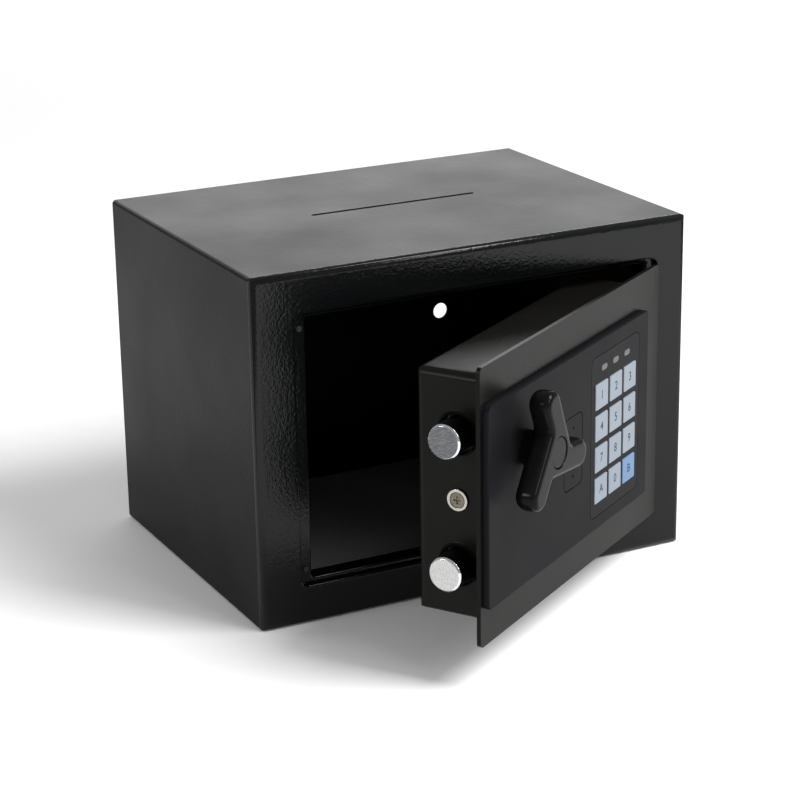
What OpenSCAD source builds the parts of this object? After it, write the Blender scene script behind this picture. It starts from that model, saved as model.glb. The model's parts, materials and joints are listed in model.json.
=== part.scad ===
// Small steel safe with a coin slot, an electronic keypad and a turning handle.
// The origin is the middle of the footprint, +Z is up and the door faces -Y.
// Case parts are drawn with y = 0 on the front face; door parts are drawn in the
// closed position and then swung about the hinge pins by door_open.

/* [Case] */
// Outer width of the case
case_w = 230; // [210:1:260]
// Outer depth of the case
case_d = 170; // [150:1:220]
// Outer height of the case
case_h = 170; // [165:1:200]
// Thickness of the case sheet
sheet_t = 1.5; // [1.2:0.1:1.6]
// Radius of the long folded edges of the case
fold_r = 2; // [1.7:0.1:3]
// Radius of the front edges
front_edge_r = 3.5; // [2:0.5:5]
// Length of the coin slot in the top
slot_l = 90; // [50:1:100]
// Width of the coin slot
slot_w = 2.4; // [2:0.1:3.5]
// Distance of the coin slot behind the front face
slot_back = 91; // [60:1:110]
// Diameter of the anchor holes
anchor_d = 8.5; // [5:0.5:12]
// Distance between the anchor holes
anchor_gap = 140; // [80:1:150]

/* [Doorway] */
// Left edge of the recess that takes the door plate
recess_left = -94; // [-98:0.5:-93]
// Right edge of the recess
recess_right = 98.5; // [98:0.1:99.5]
// Lower edge of the recess
recess_low = 18.8; // [16:0.1:19]
// Upper edge of the recess
recess_high = 150.5; // [150:0.1:154]
// Depth of the recess
recess_t = 3; // [2.6:0.1:3.6]
// Depth of the folded flange behind the recess
flange_t = 9; // [7:0.5:9]

/* [Door] */
// Angle of the door in the modelled pose, 0 is closed
door_open = 33; // [0:1:95]
// Width of the door plate
plate_w = 184.6; // [180:0.1:185]
// Height of the door plate
plate_h = 128.2; // [124:0.1:129]
// Thickness of the door plate
plate_t = 2; // [1.5:0.1:2.2]
// Depth of the pan behind the door plate
pan_t = 36; // [36:1:40]
// Radius of the folded edges of the pan
pan_r = 4.5; // [2:0.5:6]
// Radius of the hinge pins
pin_r = 1.5; // [1.2:0.1:1.5]

/* [Lock] */
// Radius of the locking bolts
bolt_r = 8; // [6:0.1:8]
// Travel of the locking bolts
bolt_travel = 12.5; // [10:0.5:12.5]
// Distance between the two bolts
bolt_gap = 61; // [58:1:62]
// Turn of the handle that draws the bolts in
knob_turn = 60; // [50:1:70]
// Length of a handle finger, measured along it from the turning axis to the centre of its round end
finger_l = 22.5; // [20:0.5:24]
// Radius of the round end of a handle finger
finger_r = 6.6; // [5:0.1:7]
// Radius of the cap in the middle of the handle
knob_cap_r = 7; // [5:0.5:8]

/* [Keypad] */
// Width of a key
key_w = 13.3; // [11:0.1:13.5]
// Height of a key
key_h = 12.5; // [10:0.1:12.8]
// Distance between the centres of neighbouring keys
key_pitch = 15.4; // [15:0.1:15.6]
// Height of the key faces above the panel
key_proud = 0.4; // [0.2:0.1:0.8]

/* [Hidden] */
$fn = 64;
fit = 0.05;               // running fit on a radius
gap = 0.3;                // clearance between moving and fixed parts
skin = 1.2;               // sheet of the door pan and the lock brackets

plate_right = 95;
plate_left = plate_right - plate_w;
plate_low = recess_low + 1.2;
plate_high = plate_low + plate_h;
pin_x = 100.5;            // hinge pins, behind the right edge of the front sheet
pin_y = 4.5;

open_left = recess_left + 6.5;
open_right = recess_right - 6.5;
open_low = recess_low + 2.5;
open_high = recess_high - 2.5;

pan_left = plate_left + 11.6;
pan_right = plate_right - 11.6;
pan_low = plate_low + 7.1;
pan_high = plate_high - 7.1;
pan_back = plate_t + pan_t;

bolt_y = 17;
bolt_mid = plate_low + 62.8;
bolt_z = [bolt_mid + bolt_gap / 2, bolt_mid - bolt_gap / 2];
bolt_tip = pan_left - 13.2;
bolt_tail = pan_left + 18;

knob_x = -50.5;
knob_z = plate_low + 81.5;
knob_tilt = 24;           // lean of the upper finger from upright
panel_t = 3;
knob_low = panel_t + 4.2; // underside of the fingers above the plate
knob_top = 18.6;          // front face of the handle above the plate
finger_off = 5;           // each finger lies this far to one side of the turning axis
finger_root = 7;          // its inner end lies this far behind the axis, inside the next finger
cap_sink = 0.4;           // depth of the handle's cap below its front face
// the drive pin swings by half the turn either side of upright
crank_r = bolt_travel / (2 * sin(knob_turn / 2));
crank_rise = crank_r * (1 - cos(knob_turn / 2));
crank_t = 1.8;
drive_r = 2;
bracket_x = pan_left + 8; // bracket that guides the bolts
lock_back = 27;           // back edge of the bracket and of the carriage
spindle_r = 4;
spindle_top = knob_top - 4;
carriage_y = 6.2;
carriage_t = 1.5;
carriage_w = 13;          // width of the carriage behind the crank
carriage_reach = 29.5;    // length of its arms towards the plunger
collar_r = 4.2;           // collar of the plunger
post_x = -34.5;
post_z = [plate_low + 98.5, plate_low + 29];

panel_left = plate_left + 1.6;
panel_right = 77.5;
panel_low = plate_low + 17;
panel_high = plate_high - 17.2;
key_x = 40.2;             // middle column of the keypad
key_z = plate_low + 60.1; // centre of the four rows
label_left = 14;
label_right = 66.4;
label_low = plate_low + 24.2;
label_high = plate_low + 102.8;
label_t = 0.4;
bed_gap = 0.3;            // gap round the label in its bed
lens_z = plate_low + 96;
lens_pitch = 12.4;

lock_x = -4.9;            // emergency lock behind its cap
lock_z = plate_low + 64.5;
cap_w = 18.4;
cap_h = 34.4;
solenoid_x = -26.5;
solenoid_y = 10;
solenoid_low = plate_low + 42;
plunger_r = 3;
plunger_tip = plate_low + 35;
plunger_travel = 5;

cell_r = 7.25;
cell_l = 50.5;
cell_pitch = 15;
battery_x = 45;
battery_z = plate_low + 44;
battery_y = 27.5;
board_y = 30;
reset_x = 60;
reset_z = plate_low + 95;
hinge_z = [plate_low + 109.5, plate_low + 18.5];
arm_t = 3;
notch_h = 8;              // height of the notches that clear the hinges

KEYS = [["key_1", "key_2", "key_3"], ["key_4", "key_5", "key_6"],
        ["key_7", "key_8", "key_9"], ["key_a", "key_0", "key_b"]];
SCREWS = [[-58, 22], [70, 20], [-24, 106], [8, 40]];

steel_black = [0.09, 0.09, 0.09];
plastic_black = [0.13, 0.13, 0.14];
bright_steel = [0.75, 0.76, 0.78];
zinc = [0.62, 0.63, 0.6];
key_grey = [0.74, 0.79, 0.84];
key_blue = [0.55, 0.76, 0.95];

// ---- frames ----
// Case parts: y = 0 is the front face.
module on_case() translate([0, -case_d / 2, 0]) children();

// Door parts are drawn closed and swung about the hinge pins.
module on_door() on_case()
    translate([pin_x, pin_y, 0]) rotate([0, 0, door_open]) translate([-pin_x, -pin_y, 0])
        children();

// A part drawn along +Z that points out of the door, from the plane y = at.
module facing_out(x, z, at = 0) translate([x, at, z]) rotate([90, 0, 0]) children();

// ---- shapes ----
module round_rect(x0, y0, x1, y1, r) {
    translate([x0 + r, y0]) square([x1 - x0 - 2 * r, y1 - y0]);
    translate([x0, y0 + r]) square([x1 - x0, y1 - y0 - 2 * r]);
    for (x = [x0 + r, x1 - r], y = [y0 + r, y1 - r]) translate([x, y]) circle(r = r);
}

// Upright slab between two x and two z, from y0 to y1, with rounded corners.
module slab(x0, x1, z0, z1, y0, y1, r) translate([0, y1, 0]) rotate([90, 0, 0])
    linear_extrude(y1 - y0) round_rect(x0, z0, x1, z1, r);

module block(x0, x1, y0, y1, z0, z1) translate([x0, y0, z0]) cube([x1 - x0, y1 - y0, z1 - z0]);

// Slab whose edges round off towards one face only: the face at y0 (front) or y1 (back).
module soft_slab(x0, x1, z0, z1, y0, y1, corner_r, edge_r, front = true) {
    far = 2 * edge_r;
    a = front ? y0 : y0 - far;
    b = front ? y1 + far : y1;
    intersection() {
        slab(x0, x1, z0, z1, y0, y1, corner_r);
        translate([0, 0, z0 - 1]) linear_extrude(z1 - z0 + 2) round_rect(x0, a, x1, b, edge_r);
        translate([x0 - 1, 0, 0]) rotate([90, 0, 90])
            linear_extrude(x1 - x0 + 2) round_rect(a, z0, b, z1, edge_r);
    }
}

module tube(r_out, r_in, h) difference() {
    cylinder(r = r_out, h = h);
    translate([0, 0, -1]) cylinder(r = r_in, h = h + 2);
}

module slot_2d(length, r) {
    square([length, 2 * r], center = true);
    for (side = [-1, 1]) translate([side * length / 2, 0]) circle(r = r);
}

// ---- case ----
module case_shell() color(steel_black) on_case() difference() {
    slab(-case_w / 2, case_w / 2, 0, case_h, front_edge_r, case_d, fold_r);
    block(-case_w / 2 + sheet_t, case_w / 2 - sheet_t, -1, case_d + 1, sheet_t, case_h - sheet_t);
    translate([3, slot_back, case_h - 5]) linear_extrude(10) slot_2d(slot_l - slot_w, slot_w / 2);
    for (side = [-1, 1]) translate([side * anchor_gap / 2, case_d / 2, -1])
        cylinder(d = anchor_d, h = 5);
}

module back_panel() color(steel_black) on_case() difference() {
    block(-case_w / 2 + sheet_t, case_w / 2 - sheet_t, case_d - sheet_t, case_d,
          sheet_t, case_h - sheet_t);
    for (side = [-1, 1]) facing_out(side * anchor_gap / 2, case_h / 2, case_d + 1)
        cylinder(d = anchor_d, h = 5);
}

module front_frame() color(steel_black) on_case() difference() {
    union() {
        difference() {
            soft_slab(-case_w / 2, case_w / 2, 0, case_h, 0, front_edge_r, fold_r, front_edge_r);
            block(-case_w / 2 + sheet_t, case_w / 2 - sheet_t, sheet_t, front_edge_r + 1,
                  sheet_t, case_h - sheet_t);
        }
        slab(recess_left - sheet_t, recess_right + sheet_t, recess_low - sheet_t,
             recess_high + sheet_t, 0.5, recess_t + sheet_t, 4 + sheet_t);
        slab(open_left - sheet_t, open_right + sheet_t, open_low - sheet_t,
             open_high + sheet_t, recess_t, recess_t + flange_t, 2 + sheet_t);
    }
    slab(recess_left, recess_right, recess_low, recess_high, -1, recess_t, 4);
    slab(open_left, open_right, open_low, open_high, -1, recess_t + flange_t + 1, 2);
    // notches behind the flange that take the bolts
    for (z = bolt_z) block(open_left - 3, open_left + 1, bolt_y - bolt_r - 1, bolt_y,
                           z - bolt_r - 1.5, z + bolt_r + 1.5);
    // notches that clear the hinges
    for (z = hinge_z) block(open_right - 1, pin_x + 5, sheet_t, recess_t + flange_t + 1,
                            z - notch_h / 2, z + notch_h / 2);
}

module floor_mat() color([0.2, 0.2, 0.21]) on_case() difference() {
    block(-case_w / 2 + 4, case_w / 2 - 4, 14, case_d - 3, sheet_t, sheet_t + 1.5);
    for (side = [-1, 1]) translate([side * anchor_gap / 2, case_d / 2, 0])
        cylinder(d = anchor_d + 4, h = 5);
}

module door_bumpers() color([0.3, 0.3, 0.3]) on_case()
    for (z = [recess_low + 7.5, recess_high - 7.5])
        facing_out(recess_left + 3.2, z, recess_t) cylinder(r = 1.4, h = 0.7);

// ---- hinges ----
module hinge_bracket(z) difference() {
    union() {
        for (side = [-1, 1]) translate([0, 0, z + side * (arm_t / 2 + gap + 0.75) - 0.75])
            linear_extrude(1.5) round_rect(pin_x - 2.7, sheet_t, case_w / 2 - sheet_t, 8.5, 1.2);
        block(case_w / 2 - sheet_t - 1.5, case_w / 2 - sheet_t, sheet_t + 1.2, 7.3,
              z - arm_t / 2 - gap - 1, z + arm_t / 2 + gap + 1);
    }
    translate([pin_x, pin_y, z - 10]) cylinder(r = pin_r, h = 20);
}

module hinge_brackets() color(zinc) on_case() for (z = hinge_z) hinge_bracket(z);

module hinge_pins() color(bright_steel) on_case()
    for (z = hinge_z) translate([pin_x, pin_y, z - 3.9]) cylinder(r = pin_r, h = 7.8);

// Flat arm that reaches round the edge of the doorway to its pin.
module hinge_arm() linear_extrude(arm_t) difference() {
    union() {
        translate([pin_x, pin_y]) circle(r = 2.7);
        translate([pin_x - 2.3, pin_y]) square([4.6, 9]);
        translate([pan_right, pin_y + 5]) square([pin_x + 2.3 - pan_right, 4]);
        translate([pan_right, pin_y + 5]) square([2, 14]);
    }
    translate([pin_x, pin_y]) circle(r = pin_r + fit);
}

module hinge_arms() color(steel_black) on_door()
    for (z = hinge_z) translate([0, 0, z - arm_t / 2]) hinge_arm();

// ---- door ----
module door_plate() color(steel_black) on_door() difference() {
    slab(plate_left, plate_right, plate_low, plate_high, 0, plate_t, 2.5);
    facing_out(knob_x, knob_z, plate_t + 1) cylinder(r = spindle_r + 2, h = 9);
    facing_out(lock_x, lock_z, plate_t + 1) cylinder(r = 8, h = 9);
    block(label_left + 2, label_right - 2, -1, plate_t + 1, label_low + 2, label_high - 2);
    screw_shanks(plate_t + 1, 5);
}

module door_pan() color(steel_black) on_door() {
    pan_shell();
    for (x = [battery_x - 24, battery_x + 28], z = [battery_z + 37, battery_z + 61])
        facing_out(x, z, pan_back - skin) cylinder(r = 2, h = pan_back - skin - board_y - 1.6);
}

module pan_shell() difference() {
    soft_slab(pan_left, pan_right, pan_low, pan_high, plate_t, pan_back, pan_r, pan_r, false);
    soft_slab(pan_left + skin, pan_right - skin, pan_low + skin, pan_high - skin,
              plate_t - 1, pan_back - skin, pan_r - skin, pan_r - skin, false);
    for (z = bolt_z) translate([pan_left - 1, bolt_y, z]) rotate([0, 90, 0])
        cylinder(r = bolt_r + 0.75, h = 4);
    translate([pan_left - 1, bolt_y, bolt_mid]) rotate([0, 90, 0]) cylinder(r = 2.2, h = 4);
    block(battery_x - 29, battery_x + 29, pan_back - 3, pan_back + 1,
          battery_z - 28, battery_z + 28);
    facing_out(reset_x, reset_z, pan_back + 1) cylinder(r = 3 + gap, h = 4);
}

module keypad_panel() color(plastic_black) on_door() difference() {
    soft_slab(panel_left, panel_right, panel_low, panel_high, -panel_t, 0, 5, 1.2);
    facing_out(knob_x, knob_z, 1) cylinder(r = spindle_r + 2, h = 9);
    // bed of the label, with the windows of the keys and lenses through it
    slab(label_left - bed_gap, label_right + bed_gap, label_low - bed_gap, label_high + bed_gap,
         -panel_t - 1, -panel_t + label_t, 4 + bed_gap);
    key_windows(-panel_t - 1, 1);
    lens_row(3.1, 1.5, -panel_t - 1, 1);
    // bed of the emergency lock cap
    slab(lock_x - cap_w / 2 - 0.4, lock_x + cap_w / 2 + 0.4, lock_z - cap_h / 2 - 0.4,
         lock_z + cap_h / 2 + 0.4, -panel_t - 1, -1.2, 3.4);
    facing_out(lock_x, lock_z, 1) cylinder(r = 8, h = 9);
    screw_shanks(1, 2.5);
}

function key_pos(row, column) = [key_x + (column - 1) * key_pitch, key_z + (1.5 - row) * key_pitch];

module key_windows(y0, y1) for (row = [0:3], column = [0:2]) {
    p = key_pos(row, column);
    slab(p[0] - key_w / 2 - 0.3, p[0] + key_w / 2 + 0.3, p[1] - key_h / 2 - 0.3,
         p[1] + key_h / 2 + 0.3, y0, y1, 1.1);
}

module lens_row(half_w, half_h, y0, y1) for (i = [-1:1])
    translate([key_x + i * lens_pitch, y1, lens_z]) rotate([90, 0, 0])
        linear_extrude(y1 - y0) slot_2d(2 * (half_w - half_h), half_h);

module keypad_label() color([0.16, 0.16, 0.17]) on_door() difference() {
    slab(label_left, label_right, label_low, label_high, -panel_t, -panel_t + label_t, 4);
    key_windows(-panel_t - 1, 1);
    lens_row(3.1, 1.5, -panel_t - 1, 1);
}

module indicator_lenses() color([0.55, 0.56, 0.56]) on_door()
    lens_row(3.1, 1.5, -panel_t - 0.1, -1.2);

module key(row, column) color(row == 3 && column == 2 ? key_blue : key_grey) on_door() {
    p = key_pos(row, column);
    slab(p[0] - key_w / 2, p[0] + key_w / 2, p[1] - key_h / 2, p[1] + key_h / 2,
         -panel_t - key_proud, -0.9, 0.8);
}

module lock_cap() color(plastic_black) on_door() difference() {
    slab(lock_x - cap_w / 2, lock_x + cap_w / 2, lock_z - cap_h / 2, lock_z + cap_h / 2,
         -panel_t, -1.2, 3);
    for (side = [-1, 1]) facing_out(lock_x, lock_z + side * cap_h * 0.34, -panel_t + 0.4)
        cylinder(r = 0.7, h = 2);
}

module lock_housing() color(zinc) on_door() facing_out(lock_x, lock_z, 20) tube(8, 5 + fit, 21.2);

module lock_plug() color([0.72, 0.6, 0.3]) on_door() facing_out(lock_x, lock_z, 20) difference() {
    union() {
        cylinder(r = 5, h = 21);
        translate([0, 0, -2]) cylinder(r = 1.5, h = 2);
    }
    translate([-0.6, -3.5, 11]) cube([1.2, 7, 11]);
}

module lock_tail() color(zinc) on_door() facing_out(lock_x, lock_z, 21.5)
    linear_extrude(1.5) difference() {
        union() {
            circle(r = 5);
            translate([0, -3]) square([14, 6]);
        }
        circle(r = 1.5);
    }

// ---- lock ----
module bolt_bracket() color(zinc) on_door() difference() {
    union() {
        block(bracket_x, bracket_x + 1.5, plate_t, lock_back, bolt_z[1] - 12, bolt_z[0] + 12);
        block(bracket_x + 1.5, bracket_x + 7, plate_t, plate_t + 1.5,
              bolt_z[1] - 12, bolt_z[0] + 12);
    }
    for (z = bolt_z) translate([bracket_x - 5, bolt_y, z]) rotate([0, 90, 0])
        cylinder(r = bolt_r + 1.5, h = 20);
    translate([bracket_x - 5, bolt_y, bolt_mid]) rotate([0, 90, 0]) cylinder(r = 2, h = 20);
}

module bolt_bushes() color([0.85, 0.84, 0.8]) on_door()
    for (z = bolt_z) translate([bracket_x - 1.5, bolt_y, z]) rotate([0, 90, 0])
        tube(bolt_r + 1.5, bolt_r + fit, 4.5);

module slide_posts() color(bright_steel) on_door() for (z = post_z) facing_out(post_x, z, plate_t)
    rotate([180, 0, 0]) {
        cylinder(r = 2, h = 7);
        translate([0, 0, carriage_y + carriage_t + gap - plate_t]) cylinder(r = 4, h = 1.6);
    }

module spindle_bush() color([0.8, 0.66, 0.35]) on_door()
    facing_out(knob_x, knob_z, plate_t + 0.4) tube(spindle_r + 2, spindle_r + fit, 5);

module bolt_carriage() color(zinc) on_door() difference() {
    union() {
        block(bolt_tail, bolt_tail + carriage_w, carriage_y, carriage_y + carriage_t,
              post_z[1] - 5, post_z[0] + 4);
        for (z = [post_z[0] - 14, post_z[1] - 5])
            block(bolt_tail, bolt_tail + carriage_reach, carriage_y, carriage_y + carriage_t, z,
                  z + (z > bolt_mid ? 18 : 10));
        block(bolt_tail, bolt_tail + carriage_t, carriage_y, lock_back,
              post_z[1] - 5, post_z[0] + 4);
    }
    // slot of the drive pin
    facing_out(knob_x - bolt_travel / 2, knob_z + crank_r - crank_rise / 2, carriage_y + 5)
        linear_extrude(9) rotate(90) slot_2d(crank_rise + 0.5, drive_r + 0.25);
    // slots of the posts
    for (z = post_z) facing_out(post_x - bolt_travel / 2, z, carriage_y + 5)
        linear_extrude(9) slot_2d(bolt_travel, 2.3);
    for (z = bolt_z) translate([bolt_tail - 1, bolt_y, z]) rotate([0, 90, 0])
        cylinder(r = 2, h = 5);
}

// Bolt from its chamfered tip to the carriage, with a tapped hole in the tail.
module bolt(z) translate([bolt_tip, bolt_y, z]) rotate([0, 90, 0]) difference() {
    rotate_extrude() polygon([[0, 0], [bolt_r - 0.8, 0], [bolt_r, 0.8],
                              [bolt_r, bolt_tail - bolt_tip], [0, bolt_tail - bolt_tip]]);
    translate([0, 0, bolt_tail - bolt_tip - 9]) cylinder(r = 2, h = 10);
}

module upper_bolt() color(bright_steel) on_door() bolt(bolt_z[0]);
module lower_bolt() color(bright_steel) on_door() bolt(bolt_z[1]);

module bolt_screws() color(bright_steel) on_door() for (z = bolt_z)
    translate([bolt_tail - 8, bolt_y, z]) rotate([0, 90, 0]) {
        cylinder(r = 2, h = 8 + carriage_t);
        translate([0, 0, 8 + carriage_t]) cylinder(r = 3.6, h = 2.2);
    }

// ---- handle ----
// three round-ended bars set off the axis, so that each runs into the side of the next
module finger_2d(angle) rotate(angle) translate([0, -finger_off]) {
    translate([-finger_root, -finger_r]) square([finger_root + finger_l, 2 * finger_r]);
    translate([finger_l, 0]) circle(r = finger_r);
}

module handle() color(plastic_black) on_door() facing_out(knob_x, knob_z) difference() {
    union() {
        translate([0, 0, panel_t + gap]) cylinder(r = 8, h = knob_low - panel_t);
        translate([0, 0, knob_low]) linear_extrude(knob_top - knob_low)
            for (i = [0:2]) finger_2d(90 + knob_tilt - 120 * i);
    }
    cylinder(r = spindle_r, h = spindle_top);
    translate([0, 0, knob_top - 1]) cylinder(r = knob_cap_r, h = 2);
}

module handle_cap() color(plastic_black) on_door()
    facing_out(knob_x, knob_z) translate([0, 0, knob_top - 1]) cylinder(r = knob_cap_r, h = 1 - cap_sink);

module handle_spindle() color(bright_steel) on_door()
    facing_out(knob_x, knob_z, plate_t + 0.8) cylinder(r = spindle_r, h = plate_t + 0.8 + spindle_top);

module crank_disc() color(zinc) on_door()
    facing_out(knob_x, knob_z, plate_t + 0.8) rotate([180, 0, 0]) {
        cylinder(r = 7.5, h = crank_t);
        rotate(-90 - knob_turn / 2) {
            translate([0, -3.2, 0]) cube([crank_r, 6.4, crank_t]);
            translate([crank_r, 0, 0]) cylinder(r = 3.2, h = crank_t);
            translate([crank_r, 0, 0]) cylinder(r = drive_r, h = 5.8);
        }
    }

module crank_screw() color(bright_steel) on_door()
    facing_out(knob_x, knob_z, plate_t + 0.8 + crank_t + 1.1) cylinder(r = 3.4, h = 1.1);

// ---- solenoid ----
module solenoid_frame() color(zinc) on_door() difference() {
    block(solenoid_x - 7, solenoid_x + 7, plate_t, solenoid_y + 7, solenoid_low, solenoid_low + 24);
    block(solenoid_x - 8, solenoid_x + 8, plate_t + skin, solenoid_y + 7 - skin,
          solenoid_low + skin, solenoid_low + 24 - skin);
    translate([solenoid_x, solenoid_y, solenoid_low - 1]) cylinder(r = plunger_r + gap, h = 30);
}

module solenoid_coil() color([0.55, 0.3, 0.15]) on_door()
    translate([solenoid_x, solenoid_y, solenoid_low + skin]) tube(5.6, plunger_r + gap, 21.6);

module plunger() color(bright_steel) on_door() translate([solenoid_x, solenoid_y, plunger_tip]) {
    cylinder(r = plunger_r, h = 27);
    cylinder(r = collar_r, h = 1.2);
}

// Turns of the return spring, drawn as rings.
module plunger_spring() color(bright_steel) on_door() for (i = [0:3])
    translate([solenoid_x, solenoid_y, plunger_tip + 2 + i * 1.4])
        rotate_extrude() translate([3.9, 0]) circle(r = 0.35, $fn = 24);

// ---- electronics ----
module main_board() color([0.1, 0.35, 0.2]) on_door() {
    block(battery_x - 27, battery_x + 31, board_y, board_y + 1.6, battery_z + 34, battery_z + 64);
    for (i = [0:2]) block(battery_x - 20 + i * 14, battery_x - 12 + i * 14, board_y - 3, board_y,
                          battery_z + 52, battery_z + 60);
}

module keypad_board() color([0.1, 0.35, 0.2]) on_door()
    block(label_left + 3, label_right - 3, 0, 1.6, label_low + 3, label_high - 3);

module ribbon_cable() color([0.6, 0.6, 0.62]) on_door() {
    block(label_right - 12, label_right - 4, 1.6, plate_t, lens_z - 14, lens_z - 4);
    block(label_right - 12, label_right, plate_t, plate_t + 0.6, lens_z - 14, lens_z - 4);
    block(label_right - 0.6, label_right, plate_t + 0.6, board_y, lens_z - 14, lens_z - 4);
}

module cell_axis(i) translate([battery_x - cell_l / 2, battery_y,
                               battery_z + (i - 1.5) * cell_pitch]) rotate([0, 90, 0]) children();

module battery_holder() color(plastic_black) on_door() difference() {
    block(battery_x - 31, battery_x + 31, battery_y - 8.5, pan_back - skin,
          battery_z - 32, battery_z + 32);
    for (i = [0:3]) cell_axis(i) translate([0, 0, -1]) cylinder(r = cell_r + 0.1, h = cell_l + 2);
    block(battery_x - cell_l / 2 - 1, battery_x + cell_l / 2 + 1, battery_y, pan_back,
          battery_z - 30, battery_z + 30);
}

module batteries() color([0.2, 0.2, 0.22]) on_door() for (i = [0:3]) cell_axis(i) {
    cylinder(r = cell_r, h = cell_l - 1);
    translate([0, 0, cell_l - 1]) cylinder(r = 2.7, h = 1);
}

module battery_cover() color(plastic_black) on_door() {
    soft_slab(battery_x - 31, battery_x + 31, battery_z - 30, battery_z + 30,
              pan_back, pan_back + 1.6, 3, 1, false);
    block(battery_x - 28.7, battery_x + 28.7, pan_back - skin, pan_back,
          battery_z - 27.7, battery_z + 27.7);
}

module reset_button() color([0.7, 0.1, 0.1]) on_door()
    facing_out(reset_x, reset_z, pan_back + 0.9) cylinder(r = 3, h = pan_back - board_y - 1.5);

// ---- fasteners ----
module side_screw() color(bright_steel) on_door() translate([pan_left, bolt_y, bolt_mid])
    rotate([0, 90, 0]) difference() {
        union() {
            translate([0, 0, -0.9]) cylinder(r = 3.5, h = 0.9);
            cylinder(r = 2, h = 13);
        }
        for (turn = [0, 90]) rotate(turn) translate([-1.9, -0.35, -2]) cube([3.8, 0.7, 1.8]);
    }

module screw_washer() color(bright_steel) on_door() translate([pan_left, bolt_y, bolt_mid])
    rotate([0, -90, 0]) tube(5.1, 3.6, 1.1);

// Screws that hold the keypad panel, from behind the plate.
module screw_shanks(at, length) for (p = SCREWS)
    facing_out(p[0], plate_low + p[1], at) cylinder(r = 1.2, h = length);

module panel_screws() color(bright_steel) on_door() {
    for (p = SCREWS)
        facing_out(p[0], plate_low + p[1], plate_t + 1.6) cylinder(r = 2.8, h = 1.6);
    screw_shanks(plate_t, plate_t + 1.5);
}

case_shell();
back_panel();
front_frame();
floor_mat();
hinge_brackets();
hinge_pins();
door_bumpers();
door_plate();
door_pan();
hinge_arms();
keypad_panel();
keypad_label();
indicator_lenses();
lock_cap();
lock_housing();
bolt_bracket();
bolt_bushes();
slide_posts();
spindle_bush();
solenoid_frame();
solenoid_coil();
main_board();
keypad_board();
ribbon_cable();
battery_holder();
batteries();
battery_cover();
side_screw();
screw_washer();
panel_screws();
bolt_carriage();
upper_bolt();
lower_bolt();
bolt_screws();
handle();
handle_cap();
handle_spindle();
crank_disc();
crank_screw();
plunger();
plunger_spring();
lock_plug();
lock_tail();
reset_button();
for (row = [0:3], column = [0:2])
    key(row, column);
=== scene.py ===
import json
import math

import bmesh
import bpy
from mathutils import Matrix, Vector


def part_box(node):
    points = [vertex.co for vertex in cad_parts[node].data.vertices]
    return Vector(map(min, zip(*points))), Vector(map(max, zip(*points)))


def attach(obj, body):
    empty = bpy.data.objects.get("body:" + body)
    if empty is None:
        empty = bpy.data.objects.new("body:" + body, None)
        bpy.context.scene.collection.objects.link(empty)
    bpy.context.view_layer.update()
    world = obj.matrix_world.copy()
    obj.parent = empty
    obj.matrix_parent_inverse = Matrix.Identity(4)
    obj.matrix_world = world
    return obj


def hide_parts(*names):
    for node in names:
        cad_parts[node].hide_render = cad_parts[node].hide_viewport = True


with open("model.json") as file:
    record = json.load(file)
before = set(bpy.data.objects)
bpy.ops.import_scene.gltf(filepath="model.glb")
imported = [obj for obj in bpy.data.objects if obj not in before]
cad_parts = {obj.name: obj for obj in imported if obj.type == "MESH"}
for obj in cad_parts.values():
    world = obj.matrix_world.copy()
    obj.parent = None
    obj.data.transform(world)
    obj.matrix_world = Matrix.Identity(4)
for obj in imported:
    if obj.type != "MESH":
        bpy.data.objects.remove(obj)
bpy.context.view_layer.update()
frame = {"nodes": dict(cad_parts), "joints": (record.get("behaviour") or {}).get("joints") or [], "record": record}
nodes = frame["nodes"]
mm = 0.001
print("frame loaded:", len(nodes), "nodes")

scene = bpy.context.scene
scene.view_settings.view_transform = "Standard"
scene.view_settings.look = "None"

# camera
cameraSet = {
    "place": (-0.5179, -1.0189, 0.45634),
    "azimuth": -27.02,
    "elevation": 18.68,
    "roll": -0.9,
    "lens": 107.56,
    "sensor": 36,
    "clip": (0.05, 50),
}


def makeCamera():
    data = bpy.data.cameras.new("camera")
    camera = bpy.data.objects.new("camera", data)
    scene.collection.objects.link(camera)
    around = math.radians(cameraSet["azimuth"])
    up = math.radians(cameraSet["elevation"])
    back = Vector((math.sin(around) * math.cos(up), -math.cos(around) * math.cos(up), math.sin(up)))
    turn = (-back).to_track_quat("-Z", "Y").to_matrix()
    camera.rotation_euler = (turn @ Matrix.Rotation(math.radians(cameraSet["roll"]), 3, "Z")).to_euler()
    camera.location = cameraSet["place"]
    data.sensor_width = cameraSet["sensor"]
    data.lens = cameraSet["lens"]
    data.clip_start, data.clip_end = cameraSet["clip"]
    scene.camera = camera


makeCamera()
print("camera made")

# the open door
doorJoint = next(j for j in frame["joints"] if j["name"] == "door_swing")
doorOpen = math.radians(-doorJoint["range_deg"][0])
pin = Vector(doorJoint["pos_m"])
swing = Matrix.Translation(pin) @ Matrix.Rotation(doorOpen, 4, "Z") @ Matrix.Translation(-pin)
unswing = swing.inverted()
bodyOf = {n: body for body, names in frame["record"]["behaviour"]["bodies"].items() for n in names}
slotOf = {s["node"]: s["material_slot"] for s in frame["record"]["subparts"]}


def closedBox(node):
    # corners of a door node with the door shut, so that its sides lie along the axes
    points = [unswing @ v.co for v in nodes[node].data.vertices]
    low = Vector([min(p[k] for p in points) for k in range(3)])
    high = Vector([max(p[k] for p in points) for k in range(3)])
    return low, high


# materials
def hexColour(code):
    parts = [int(code[i : i + 2], 16) / 255 for i in (1, 3, 5)]
    return tuple(c / 12.92 if c <= 0.04045 else ((c + 0.055) / 1.055) ** 2.4 for c in parts) + (1.0,)


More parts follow.
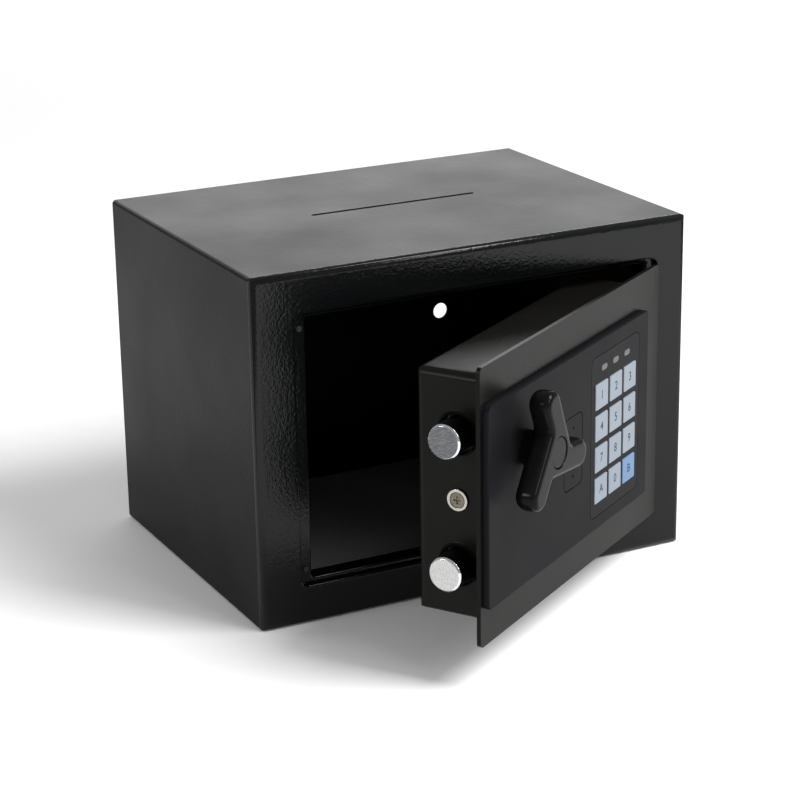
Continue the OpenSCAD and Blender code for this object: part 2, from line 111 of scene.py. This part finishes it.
def addNode(mat, kind, settings=None, links=None):
    # settings are properties or input values; links are {input: (node, output)}
    node = mat.node_tree.nodes.new(kind)
    for key, value in (settings or {}).items():
        if isinstance(key, str) and hasattr(node, key) and key not in node.inputs:
            setattr(node, key, value)
        else:
            node.inputs[key].default_value = value
    for key, (source, output) in (links or {}).items():
        mat.node_tree.links.new(source.outputs[output], node.inputs[key])
    return node


def startMaterial(name, settings):
    mat = bpy.data.materials.new(name)
    mat.use_nodes = True
    mat.node_tree.nodes.clear()
    shader = addNode(mat, "ShaderNodeBsdfPrincipled", settings)
    out = addNode(mat, "ShaderNodeOutputMaterial")
    mat.node_tree.links.new(shader.outputs["BSDF"], out.inputs["Surface"])
    place = addNode(mat, "ShaderNodeTexCoord")
    return mat, shader, place


def perMetre(size):
    # noise scale whose features are about this many millimetres across
    return 1 / (size * mm)


def addBump(mat, shader, height, strength, distance):
    settings = {"Strength": strength, "Distance": distance * mm}
    bump = addNode(mat, "ShaderNodeBump", settings, {"Height": height})
    mat.node_tree.links.new(bump.outputs["Normal"], shader.inputs["Normal"])


def addRamp(mat, source, low, high, fromMin=0.3, fromMax=0.7):
    # noise spread between two values
    return addNode(
        mat,
        "ShaderNodeMapRange",
        {"From Min": fromMin, "From Max": fromMax, "To Min": low, "To Max": high},
        {"Value": source},
    )


def addMix(mat, factor, first, second):
    # a Mix node's colours are inputs 6 and 7 and output 2
    mix = addNode(mat, "ShaderNodeMix", {"data_type": "RGBA"})
    mix.inputs[6].default_value = hexColour(first)
    mix.inputs[7].default_value = hexColour(second)
    mat.node_tree.links.new(factor[0].outputs[factor[1]], mix.inputs[0])
    return mix


surfaceSet = {  # what all coats, plastics or metals share
    "coatCloud": 60,  # width in mm of the slow changes in colour and gloss
    "mouldCloud": 25,
    "coatSpread": (0.04, 0.05),  # roughness goes this far below and above its value
    "mouldSpread": (0.03, 0.04),
    "metalSpread": (0.06, 0.08),
    "mouldDepth": 0.05,
    "scratchDepth": 0.05,
}


def driftingRoughness(mat, shader, source, rough, spread):
    below, above = surfaceSet[spread]
    ramp = addRamp(mat, (source, "Fac"), rough - below, rough + above)
    mat.node_tree.links.new(ramp.outputs["Result"], shader.inputs["Roughness"])


def driftingColour(mat, shader, source, dark, light):
    colour = addMix(mat, (source, "Fac"), dark, light)
    mat.node_tree.links.new(colour.outputs[2], shader.inputs["Base Color"])


def coated(name, coat):
    # powder coat: baked resin powder that flows into soft orange peel over the sheet
    mat, shader, place = startMaterial(
        name,
        {"Metallic": 0.0, "IOR": 1.5, "Specular IOR Level": coat["gloss"]},
    )
    peel = addNode(
        mat,
        "ShaderNodeTexNoise",
        {"Scale": perMetre(coat["peelSize"]), "Detail": 2.0, "Roughness": 0.5},
        {"Vector": (place, "Object")},
    )
    grain = addNode(
        mat,
        "ShaderNodeTexNoise",
        {"Scale": perMetre(coat["grainSize"]), "Detail": 1.0},
        {"Vector": (place, "Object")},
    )
    cloud = addNode(
        mat,
        "ShaderNodeTexNoise",
        {"Scale": perMetre(surfaceSet["coatCloud"]), "Detail": 3.0},
        {"Vector": (place, "Object")},
    )
    driftingColour(mat, shader, cloud, coat["dark"], coat["light"])
    driftingRoughness(mat, shader, cloud, coat["rough"], "coatSpread")
    both = addNode(
        mat,
        "ShaderNodeMath",
        {"operation": "MULTIPLY_ADD", 1: coat["grainShare"]},
        {0: (grain, "Fac"), 2: (peel, "Fac")},
    )
    addBump(mat, shader, (both, "Value"), coat["strength"], coat["depth"])
    return mat


caseCoat = coated(  # satin coat of the folded shell: even sheen, fine pebble
    "satinPowderCoat",
    {"dark": "#0c0c0d", "light": "#101011", "gloss": 0.07, "rough": 0.36, "peelSize": 1.6,
     "grainSize": 0.7, "grainShare": 0.6, "strength": 0.5, "depth": 0.14},
)
frontCoat = coated(  # thicker gloss coat: highlights break up on the peel
    "glossPowderCoat",
    {"dark": "#060707", "light": "#0a0b0c", "gloss": 0.26, "rough": 0.14, "peelSize": 1.5,
     "grainSize": 0.7, "grainShare": 0.5, "strength": 0.5, "depth": 0.2},
)
doorCoat = coated(  # thin satin coat of the door, almost smooth
    "doorPowderCoat",
    {"dark": "#0d0d0c", "light": "#131210", "gloss": 0.09, "rough": 0.3, "peelSize": 1.3,
     "grainSize": 0.6, "grainShare": 0.6, "strength": 0.3, "depth": 0.08},
)


def moulded(name, mould):
    # moulded plastic: a fine spark-eroded texture and slow drift in gloss
    mat, shader, place = startMaterial(
        name,
        {"Metallic": 0.0, "IOR": mould["ior"], "Specular IOR Level": mould["gloss"]},
    )
    texture = addNode(
        mat,
        "ShaderNodeTexNoise",
        {"Scale": perMetre(mould["grainSize"]), "Detail": 2.0},
        {"Vector": (place, "Object")},
    )
    drift = addNode(
        mat,
        "ShaderNodeTexNoise",
        {"Scale": perMetre(surfaceSet["mouldCloud"]), "Detail": 2.0},
        {"Vector": (place, "Object")},
    )
    driftingColour(mat, shader, drift, mould["dark"], mould["light"])
    driftingRoughness(mat, shader, drift, mould["rough"], "mouldSpread")
    addBump(mat, shader, (texture, "Fac"), mould["strength"], surfaceSet["mouldDepth"])
    return mat


panelPlastic = moulded(  # charcoal ABS, satin
    "charcoalAbs",
    {"dark": "#131315", "light": "#18181a", "gloss": 0.03, "ior": 1.53, "rough": 0.4,
     "grainSize": 0.5, "strength": 0.2},
)
handlePlastic = moulded(  # the same ABS, polished mould: soft clear highlights
    "semiGlossAbs",
    {"dark": "#0e0e0f", "light": "#121214", "gloss": 0.07, "ior": 1.53, "rough": 0.2,
     "grainSize": 0.6, "strength": 0.08},
)
labelFilm = moulded(  # printed polyester overlay, a little flatter than the panel
    "polyesterOverlay",
    {"dark": "#131315", "light": "#17171a", "gloss": 0.03, "ior": 1.57, "rough": 0.36,
     "grainSize": 0.4, "strength": 0.12},
)
keySilicone = moulded(  # pale grey-blue silicone keys
    "greySilicone",
    {"dark": "#7f8791", "light": "#88919a", "gloss": 0.25, "ior": 1.43, "rough": 0.5,
     "grainSize": 0.4, "strength": 0.1},
)
blueSilicone = moulded(  # the light blue key
    "blueSilicone",
    {"dark": "#5f7b9b", "light": "#6986a6", "gloss": 0.25, "ior": 1.43, "rough": 0.5,
     "grainSize": 0.4, "strength": 0.1},
)
keyInk = moulded(  # screen-printed figures
    "printedInk",
    {"dark": "#17191d", "light": "#1d2025", "gloss": 0.3, "ior": 1.5, "rough": 0.6,
     "grainSize": 0.3, "strength": 0.1},
)
lensPlastic = moulded(  # unlit frosted lenses
    "frostedAcrylic",
    {"dark": "#4b4c4c", "light": "#585959", "gloss": 0.3, "ior": 1.49, "rough": 0.35,
     "grainSize": 0.4, "strength": 0.15},
)
blackPlastic = moulded(  # battery box and cover
    "blackAbs",
    {"dark": "#161617", "light": "#1c1c1d", "gloss": 0.45, "ior": 1.53, "rough": 0.45,
     "grainSize": 0.6, "strength": 0.3},
)
nylonPlastic = moulded(  # natural nylon bushes
    "naturalNylon",
    {"dark": "#cfc9b8", "light": "#ddd8ca", "gloss": 0.5, "ior": 1.53, "rough": 0.4,
     "grainSize": 0.8, "strength": 0.1},
)
redPlastic = moulded(  # reset button
    "redAbs",
    {"dark": "#8f1512", "light": "#a31c18", "gloss": 0.5, "ior": 1.53, "rough": 0.3,
     "grainSize": 0.5, "strength": 0.1},
)
bumperRubber = moulded(  # stick-on stops
    "blackRubber",
    {"dark": "#191919", "light": "#222222", "gloss": 0.3, "ior": 1.52, "rough": 0.7,
     "grainSize": 0.3, "strength": 0.4},
)
coilTape = moulded(  # amber tape over the winding
    "amberTape",
    {"dark": "#8a4a14", "light": "#a5601f", "gloss": 0.5, "ior": 1.6, "rough": 0.3,
     "grainSize": 0.5, "strength": 0.2},
)
boardMask = moulded(  # green solder mask
    "solderMask",
    {"dark": "#0e4a26", "light": "#15602f", "gloss": 0.5, "ior": 1.55, "rough": 0.3,
     "grainSize": 1.2, "strength": 0.3},
)
cableSheath = moulded(  # grey ribbon cable
    "greyVinyl",
    {"dark": "#8a8b8e", "light": "#9a9b9e", "gloss": 0.5, "ior": 1.54, "rough": 0.45,
     "grainSize": 1.2, "strength": 0.4},
)
batteryCan = moulded(  # plain printed cell jacket
    "cellJacket",
    {"dark": "#2b2c30", "light": "#36373c", "gloss": 0.5, "ior": 1.5, "rough": 0.25,
     "grainSize": 2.0, "strength": 0.05},
)


def metal(name, plate):
    # turned, brushed or plated metal; stretch pulls the scratches out along one axis
    mat, shader, place = startMaterial(name, {"Metallic": 1.0})
    stretch = addNode(mat, "ShaderNodeMapping", {"Scale": plate["stretch"]}, {"Vector": (place, "Object")})
    scratch = addNode(
        mat,
        "ShaderNodeTexNoise",
        {"Scale": perMetre(plate["lineSize"]), "Detail": 3.0, "Roughness": 0.6},
        {"Vector": (stretch, "Vector")},
    )
    driftingColour(mat, shader, scratch, plate["dark"], plate["light"])
    driftingRoughness(mat, shader, scratch, plate["rough"], "metalSpread")
    addBump(mat, shader, (scratch, "Fac"), plate["strength"], surfaceSet["scratchDepth"])
    return mat


boltSide = metal(  # satin nickel on the turned side of the bolts
    "satinNickel",
    {"dark": "#2c2d2f", "light": "#3a3b3d", "rough": 0.36, "lineSize": 0.8, "stretch": (1, 1, 1),
     "strength": 0.1},
)
boltEnd = metal(  # sawn and brushed end faces, bright with dark grooves
    "brushedNickel",
    {"dark": "#8a8a8a", "light": "#e2e2e1", "rough": 0.28, "lineSize": 1.2,
     "stretch": (3.0, 3.0, 1), "strength": 0.8},
)
boltEndPaintedShade = metal(  # the upper bolt's end: the brushed nickel painted darker, painted shade for the dark surroundings it reflects, with lighter marks here and there
    "paintedShadeNickelEnd",
    {"dark": "#000000", "light": "#8f9194", "rough": 0.22, "lineSize": 2.0,
     "stretch": (1, 1, 3.5), "strength": 1.0},
)
boltRim = metal(  # polished chamfer
    "brightNickel",
    {"dark": "#d8d9db", "light": "#f0f0f1", "rough": 0.12, "lineSize": 1.0, "stretch": (1, 1, 1),
     "strength": 0.05},
)
screwMetal = metal(  # nickel-plated screw and cup washer
    "platedScrew",
    {"dark": "#98958c", "light": "#c9c5bb", "rough": 0.22, "lineSize": 0.7, "stretch": (1, 1, 1),
     "strength": 0.15},
)
screwPaintedShade = metal(  # the screw itself: the same plating painted darker, painted shade for where it sits down in its cup
    "paintedShadeScrewNickel",
    {"dark": "#3c3933", "light": "#8e897d", "rough": 0.24, "lineSize": 1.2, "stretch": (1, 1, 1),
     "strength": 0.4},
)
zincSheet = metal(  # zinc-plated pressings
    "zincPlate",
    {"dark": "#9fa09b", "light": "#bcbdb8", "rough": 0.36, "lineSize": 2.5, "stretch": (1, 1, 1),
     "strength": 0.1},
)
turnedSteel = metal(  # turned pins and screws
    "turnedSteel",
    {"dark": "#a9abae", "light": "#c9cbce", "rough": 0.26, "lineSize": 0.6, "stretch": (1, 1, 1),
     "strength": 0.15},
)
turnedBrass = metal(  # lock core and spindle bush
    "turnedBrass",
    {"dark": "#b08b45", "light": "#cfa95c", "rough": 0.26, "lineSize": 0.6, "stretch": (1, 1, 1),
     "strength": 0.15},
)


feltSet = {"clumpSize": 1.4, "dark": "#151517", "light": "#2b2b2e", "strength": 0.8, "depth": 0.5}


def makeFelt():
    # needle felt: matt, with fibres too fine to show drawn as soft clumps
    mat, shader, place = startMaterial(
        "needleFelt",
        {"Metallic": 0.0, "IOR": 1.5, "Roughness": 0.95, "Sheen Weight": 0.3, "Sheen Roughness": 0.6},
    )
    clump = addNode(
        mat,
        "ShaderNodeTexNoise",
        {"Scale": perMetre(feltSet["clumpSize"]), "Detail": 6.0, "Roughness": 0.7},
        {"Vector": (place, "Object")},
    )
    driftingColour(mat, shader, clump, feltSet["dark"], feltSet["light"])
    addBump(mat, shader, (clump, "Fac"), feltSet["strength"], feltSet["depth"])
    return mat


needleFelt = makeFelt()
finishOf = {
    "case_paint": caseCoat, "frame_paint": frontCoat, "door_paint": doorCoat,
    "panel_plastic": panelPlastic, "handle_plastic": handlePlastic, "label_film": labelFilm,
    "key_grey": keySilicone, "key_blue": blueSilicone, "lens_plastic": lensPlastic,
    "bolt_chrome": screwMetal, "zinc_steel": zincSheet, "bright_steel": turnedSteel,
    "brass": turnedBrass, "nylon": nylonPlastic, "coil_tape": coilTape,
    "board_green": boardMask, "cable_grey": cableSheath, "inner_plastic": blackPlastic,
    "battery_can": batteryCan, "bumper_rubber": bumperRubber, "mat_felt": needleFelt,
    "button_red": redPlastic,
}
for nodeName, cadNode in nodes.items():
    cadNode.data.materials.clear()
    cadNode.data.materials.append(finishOf[slotOf[nodeName]])
print("materials made")


# piece helpers
shapeSet = {
    "weld": 0.002,  # CAD points closer than this, in mm, are one
    "fineWeld": 0.001,
    "flatAngle": 0.5,  # faces that meet at fewer degrees than this are made one
    "sharpAngle": 40,  # edges above this stay sharp in the shading
    "cornerAngle": 35,  # edges above this are softened
}


def finishPiece(name, bm, body, materials, stands=()):
    bmesh.ops.recalc_face_normals(bm, faces=bm.faces)
    mesh = bpy.data.meshes.new(name)
    bm.to_mesh(mesh)
    bm.free()
    for face in mesh.polygons:
        face.use_smooth = True
    mesh.set_sharp_from_angle(angle=math.radians(shapeSet["sharpAngle"]))
    for mat in materials:
        mesh.materials.append(mat)
    piece = bpy.data.objects.new(name, mesh)
    scene.collection.objects.link(piece)
    weighted = piece.modifiers.new("weighted", "WEIGHTED_NORMAL")
    weighted.keep_sharp = True
    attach(piece, body)
    if stands:
        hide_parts(*stands)


def mergedCopy(node):
    # a CAD mesh made whole: doubles merged, flat stretches turned back into single faces
    bm = bmesh.new()
    bm.from_mesh(nodes[node].data)
    bmesh.ops.remove_doubles(bm, verts=bm.verts, dist=shapeSet["weld"] * mm)
    bmesh.ops.dissolve_limit(
        bm, angle_limit=math.radians(shapeSet["flatAngle"]), verts=bm.verts, edges=bm.edges,
    )
    return bm


def softenEdges(bm, width, segments, keep=None):
    corner = math.radians(shapeSet["cornerAngle"])
    sharp = [
        e for e in bm.edges
        if e.is_manifold and e.calc_face_angle() > corner and (keep is None or keep(e))
    ]
    bmesh.ops.bevel(
        bm, geom=sharp, offset=width * mm, segments=segments, affect="EDGES",
        profile=0.5, material=-1, clamp_overlap=True,
    )


softened = {  # node: (edge radius in mm, segments)
    "case_shell": (0.3, 2), "back_panel": (0.3, 2), "hinge_brackets": (0.2, 2), "hinge_arms": (0.3, 2),
    "door_plate": (0.4, 3), "door_pan": (0.3, 2), "keypad_panel": (0.25, 2), "keypad_label": (0.08, 1),
    "lock_cap": (0.3, 3), "indicator_lenses": (0.35, 3), "battery_cover": (0.2, 2),
    "door_bumpers": (0.25, 2), "reset_button": (0.4, 3), "floor_mat": (0.5, 2),
    "screw_washer": (0.35, 3), "side_screw": (0.15, 2), "lock_plug": (0.2, 2), "lock_tail": (0.2, 2),
}
ownFinish = {"side_screw": screwPaintedShade}  # pieces that don't take their slot's finish; the side screw takes the painted-shade copy of its plating


def softenNodes():
    for node, (width, segments) in softened.items():
        bm = mergedCopy(node)
        softenEdges(bm, width, segments)
        finish = ownFinish.get(node, finishOf[slotOf[node]])
        finishPiece(node + "_soft", bm, bodyOf[node], [finish], [node])


softenNodes()
print("edges softened on", len(softened), "pieces")


# front frame
frontSet = {
    "bendRound": 1.4,  # bends round the doorway
    "bendSegments": 5,
    "ledge": 3,  # depth of the step that the closed door rests in
    "doorwaySide": 99,  # the doorway's edges lie inside these
    "doorwayLow": 18,
    "doorwayHigh": 151,
    "openingSide": 92.5,
    "openingLow": 21,
    "openingHigh": 148.5,
    "near": 0.05,  # how close to its depth a bend has to lie
}


def makeFrontFrame():
    # the sheet is folded inwards round the doorway, so both bends are rounded
    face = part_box("front_frame")[0].y
    bm = mergedCopy("front_frame")
    bm.normal_update()

    def inside(e, side, bottom, top):
        return all(abs(v.co.x) < side * mm and bottom * mm < v.co.z < top * mm for v in e.verts)

    def atDepth(e, depth):
        return all(abs(v.co.y - face - depth * mm) < frontSet["near"] * mm for v in e.verts)

    def isBend(e):
        doorway = inside(e, frontSet["doorwaySide"], frontSet["doorwayLow"], frontSet["doorwayHigh"])
        opening = inside(e, frontSet["openingSide"], frontSet["openingLow"], frontSet["openingHigh"])
        return doorway and (atDepth(e, 0) or (atDepth(e, frontSet["ledge"]) and opening))

    softenEdges(bm, frontSet["bendRound"], frontSet["bendSegments"], keep=isBend)
    finishPiece("front_frame_soft", bm, "case", [frontCoat], ["front_frame"])


makeFrontFrame()
print("front frame made")


def bridgeRings(bm, rings):
    for first, second in zip(rings, rings[1:]):
        bmesh.ops.bridge_loops(bm, edges=first + second)


# handle
handleSet = {
    "reach": 22.5,  # along a finger to the centre of its round end
    "offset": 5,  # each finger lies this far clockwise of the turning axis
    "endRound": 6.6,
    "crotchRound": 3,
    "lean": 24,  # how far the upper finger is turned from upright, in degrees
    "backRound": 5,
    "frontRound": 2.8,
    "arcSteps": 14,
    "edgeSteps": 6,
    "under": 7.2,  # underside of the fingers above the plate
    "stemRadius": 8,
    "stemLow": 3.3,
    "capRadius": 7,
    "capGap": 0.3,
    "capSink": 0.4,
    "seatDepth": 1,  # depth of the round seat that the cap sits in
    "seatEdge": 0.25,
    "circleSteps": 90,
}


def handleRing(bm, grow, height):
    # three round-ended bars, each running into the side of the next, grown or shrunk all round
    end, side, crotch, steps = (handleSet[key] for key in ("endRound", "offset", "crotchRound", "arcSteps"))
    inner = (0.5 * end - 1.5 * side + 0.5 * crotch) / math.cos(math.radians(30))
    points = []
    for finger in range(3):
        along = math.radians(90 + handleSet["lean"] - 120 * finger)
        ahead = Vector((math.cos(along), math.sin(along)))
        aside = Vector((ahead.y, -ahead.x))
        tip = ahead * handleSet["reach"] + aside * side
        corner = ahead * inner + aside * (side + end + crotch)
        for step in range(steps + 1):
            angle = along + math.radians(90 - 180 * step / steps)
            points.append(tip + Vector((math.cos(angle), math.sin(angle))) * (end + grow))
        for step in range(steps + 1):
            angle = along + math.radians(90 + 60 * step / steps)
            points.append(corner + Vector((math.cos(angle), math.sin(angle))) * (crotch - grow))
    verts = [bm.verts.new((p.x * mm, p.y * mm, height * mm)) for p in points]
    return [bm.edges.new((a, b)) for a, b in zip(verts, verts[1:] + verts[:1])]


def circleRing(bm, radius, height):
    made = bmesh.ops.create_circle(bm, segments=handleSet["circleSteps"], radius=radius * mm)
    bmesh.ops.translate(bm, vec=(0, 0, height * mm), verts=made["verts"])
    return list(dict.fromkeys(e for v in made["verts"] for e in v.link_edges))


def makeHandle():
    back, front, under = (handleSet[key] for key in ("backRound", "frontRound", "under"))
    low = closedBox("handle")[0]
    capLow, capHigh = closedBox("handle_cap")
    centre = (capLow + capHigh) / 2
    plate = closedBox("door_plate")[0].y / mm
    top = plate - low.y / mm
    bm = bmesh.new()
    stem, steps = handleSet["stemRadius"], handleSet["edgeSteps"]
    seat, edge = handleSet["seatDepth"], handleSet["seatEdge"]
    rings = [circleRing(bm, stem, handleSet["stemLow"]), circleRing(bm, stem, under)]
    for step in range(steps + 1):  # soft back edge
        angle = math.radians(90 * step / steps)
        rings.append(handleRing(bm, -back * (1 - math.sin(angle)), under + back * (1 - math.cos(angle))))
    for step in range(steps + 1):  # front edge
        angle = math.radians(90 * step / steps)
        rings.append(handleRing(bm, -front * (1 - math.cos(angle)), top - front * (1 - math.sin(angle))))
    capRadius = handleSet["capRadius"]
    hole = capRadius + handleSet["capGap"]
    rings.append(circleRing(bm, hole + edge, top))
    rings.append(circleRing(bm, hole, top - edge))
    rings.append(circleRing(bm, hole, top - seat))
    bridgeRings(bm, rings)
    bmesh.ops.holes_fill(bm, edges=bm.edges, sides=0)
    cap = bmesh.new()
    capTop = top - handleSet["capSink"]
    capRings = [
        circleRing(cap, capRadius, top - seat),
        circleRing(cap, capRadius, capTop - edge),
        circleRing(cap, capRadius - edge, capTop),
    ]
    bridgeRings(cap, capRings)
    bmesh.ops.holes_fill(cap, edges=cap.edges, sides=0)
    out = Matrix.Translation((centre.x, plate * mm, centre.z)) @ Matrix.Rotation(math.radians(90), 4, "X")
    for shape, name, node in ((bm, "handle_soft", "handle"), (cap, "handle_cap_soft", "handle_cap")):
        bmesh.ops.transform(shape, matrix=swing @ out, verts=shape.verts)
        finishPiece(name, shape, "handle", [handlePlastic], [node])


makeHandle()
print("handle made")

# bolts
boltSet = {
    "edge": 0.12,
    "endFacing": 0.95,  # a face turned outwards more squarely than this is the end
    "rimFacing": 0.3,  # the chamfer's faces lie between this and endFacing
    "near": 0.1,  # how close to the tip the end's middle lies
    "collarRadius": 10.6,
    "collarHeight": 1.4,
    "collarHole": 8.7,
    "collarRoot": 0.6,  # how far the lip reaches down into the hole
    "collarCrest": 0.45,  # where the lip is highest, as a share of its width
    "collarSteps": 6,
    "collarTurns": 64,
}


def makeBolts():
    along = (swing.to_3x3() @ Vector((-1, 0, 0))).normalized()
    # the upper bolt's end takes the painted-shade copy of the end finish
    for node, endFinish in (("upper_bolt", boltEndPaintedShade), ("lower_bolt", boltEnd)):
        bm = mergedCopy(node)
        bm.normal_update()
        tip = max(v.co.dot(along) for v in bm.verts)
        for face in bm.faces:
            middle = face.calc_center_median().dot(along)
            facing = face.normal.dot(along)
            if facing > boltSet["endFacing"] and middle > tip - boltSet["near"] * mm:
                face.material_index = 1
            elif boltSet["rimFacing"] < facing < boltSet["endFacing"]:
                face.material_index = 2
        softenEdges(bm, boltSet["edge"], 2)
        finishPiece(node + "_soft", bm, "bolts", [boltSide, endFinish, boltRim], [node])


def makeBoltCollars():
    # the pan is drawn outwards into a soft lip round each bolt
    panSide = closedBox("door_pan")[0].x
    inner, outer, height = (boltSet[key] for key in ("collarHole", "collarRadius", "collarHeight"))
    spread = (outer - inner) * boltSet["collarCrest"]
    crest = inner + spread
    steps = boltSet["collarSteps"]
    for node in ("upper_bolt", "lower_bolt"):
        low, high = closedBox(node)
        bm = bmesh.new()
        outline = [(inner, -boltSet["collarRoot"])]
        for step in range(steps + 1):
            angle = math.radians(180 - 90 * step / steps)
            outline.append((crest + spread * math.cos(angle), height * math.sin(angle)))
        for step in range(1, steps + 1):
            share = step / steps
            fall = height * (1 - math.sin(math.radians(90 * share)))
            outline.append((crest + (outer - crest) * share, fall))
        profile = [bm.verts.new((across * mm, 0, up * mm)) for across, up in outline]
        edges = [bm.edges.new(pair) for pair in zip(profile, profile[1:])]
        bmesh.ops.spin(
            bm, geom=profile + edges, cent=(0, 0, 0), axis=(0, 0, 1), angle=math.tau,
            steps=boltSet["collarTurns"], use_merge=True,
        )
        bmesh.ops.remove_doubles(bm, verts=bm.verts, dist=shapeSet["fineWeld"] * mm)
        place = Matrix.Translation((panSide, (low.y + high.y) / 2, (low.z + high.z) / 2))
        bmesh.ops.transform(
            bm, matrix=swing @ place @ Matrix.Rotation(math.radians(-90), 4, "Y"), verts=bm.verts,
        )
        finishPiece(node + "_lip", bm, "door", [doorCoat])


makeBolts()
makeBoltCollars()
print("bolts made")

# keypad
keySet = {
    "figureHeight": 4.2,
    "capitalShare": 0.7,  # a capital's height as a share of the type size
    "figureBold": 0.006,
    "proud": 0.04,  # thickness of the ink, half of it sunk in the key
    "edge": 0.35,
}


def makeKeys():
    for node in sorted(n for n in nodes if n.startswith("key_")):
        bm = mergedCopy(node)
        softenEdges(bm, keySet["edge"], 3)
        slotName = slotOf[node]
        finishPiece(node + "_soft", bm, node, [finishOf[slotName]], [node])
        makeFigure(node)


def makeFigure(node):
    low, high = closedBox(node)
    text = bpy.data.curves.new(node + "_figure", "FONT")
    text.body = node[-1].upper()
    text.size = keySet["figureHeight"] * mm / keySet["capitalShare"]
    text.align_x = "CENTER"
    text.align_y = "CENTER"
    text.offset = keySet["figureBold"] * text.size
    text.extrude = keySet["proud"] * mm / 2
    source = bpy.data.objects.new(node + "_figure", text)
    scene.collection.objects.link(source)
    bpy.context.view_layer.update()
    mesh = bpy.data.meshes.new_from_object(source.evaluated_get(bpy.context.evaluated_depsgraph_get()))
    bpy.data.objects.remove(source)
    bm = bmesh.new()
    bm.from_mesh(mesh)
    bpy.data.meshes.remove(mesh)
    bmesh.ops.remove_doubles(bm, verts=bm.verts, dist=shapeSet["fineWeld"] * mm)
    place = Matrix.Translation(((low.x + high.x) / 2, low.y, (low.z + high.z) / 2))
    bmesh.ops.transform(
        bm, matrix=swing @ place @ Matrix.Rotation(math.radians(90), 4, "X"), verts=bm.verts,
    )
    finishPiece(node + "_figure", bm, node, [keyInk])


makeKeys()
print("keypad made")

# studio
studioSet = {
    "floor": {"size": 8, "drift": 900, "dark": "#f4f4f4", "light": "#f8f8f8"},
    "world": 0.36,
    "aim": (0, 0, 0.1),
    "overhead": {"place": (0.75, -0.85, 1.4), "size": (0.7, 0.9), "power": 37},
    "behind": {"place": (0.9, 2.4, 0.95), "size": (3.4, 1.1), "power": 30},
    "left": {"place": (-1.75, -0.15, 0.78), "size": (0.5, 0.4), "power": 9},
    "front": {"place": (0.65, -2.1, 1.25), "size": (0.6, 0.5), "power": 9},
}


def makeStudio():
    floorSet = studioSet["floor"]
    bm = bmesh.new()
    bmesh.ops.create_grid(bm, x_segments=1, y_segments=1, size=floorSet["size"])
    mesh = bpy.data.meshes.new("floor")
    bm.to_mesh(mesh)
    bm.free()
    mat, shader, place = startMaterial("paleFloor", {"Roughness": 0.9, "Specular IOR Level": 0.2})
    drift = addNode(
        mat,
        "ShaderNodeTexNoise",
        {"Scale": perMetre(floorSet["drift"])},
        {"Vector": (place, "Object")},
    )
    driftingColour(mat, shader, drift, floorSet["dark"], floorSet["light"])
    mesh.materials.append(mat)
    floor = bpy.data.objects.new("floor", mesh)
    scene.collection.objects.link(floor)
    world = bpy.data.worlds.new("studio")
    world.use_nodes = True
    background = world.node_tree.nodes["Background"]
    background.inputs["Color"].default_value = (1, 1, 1, 1)
    background.inputs["Strength"].default_value = studioSet["world"]
    scene.world = world
    for name in ("overhead", "behind", "left", "front"):
        lampSet = studioSet[name]
        light = bpy.data.lights.new(name, "AREA")
        light.shape = "RECTANGLE"
        light.size, light.size_y = lampSet["size"]
        light.energy = lampSet["power"]
        lamp = bpy.data.objects.new(name, light)
        lamp.location = lampSet["place"]
        aim = Vector(studioSet["aim"]) - lamp.location
        lamp.rotation_euler = aim.to_track_quat("-Z", "Y").to_euler()
        scene.collection.objects.link(lamp)


makeStudio()
print("studio lit")
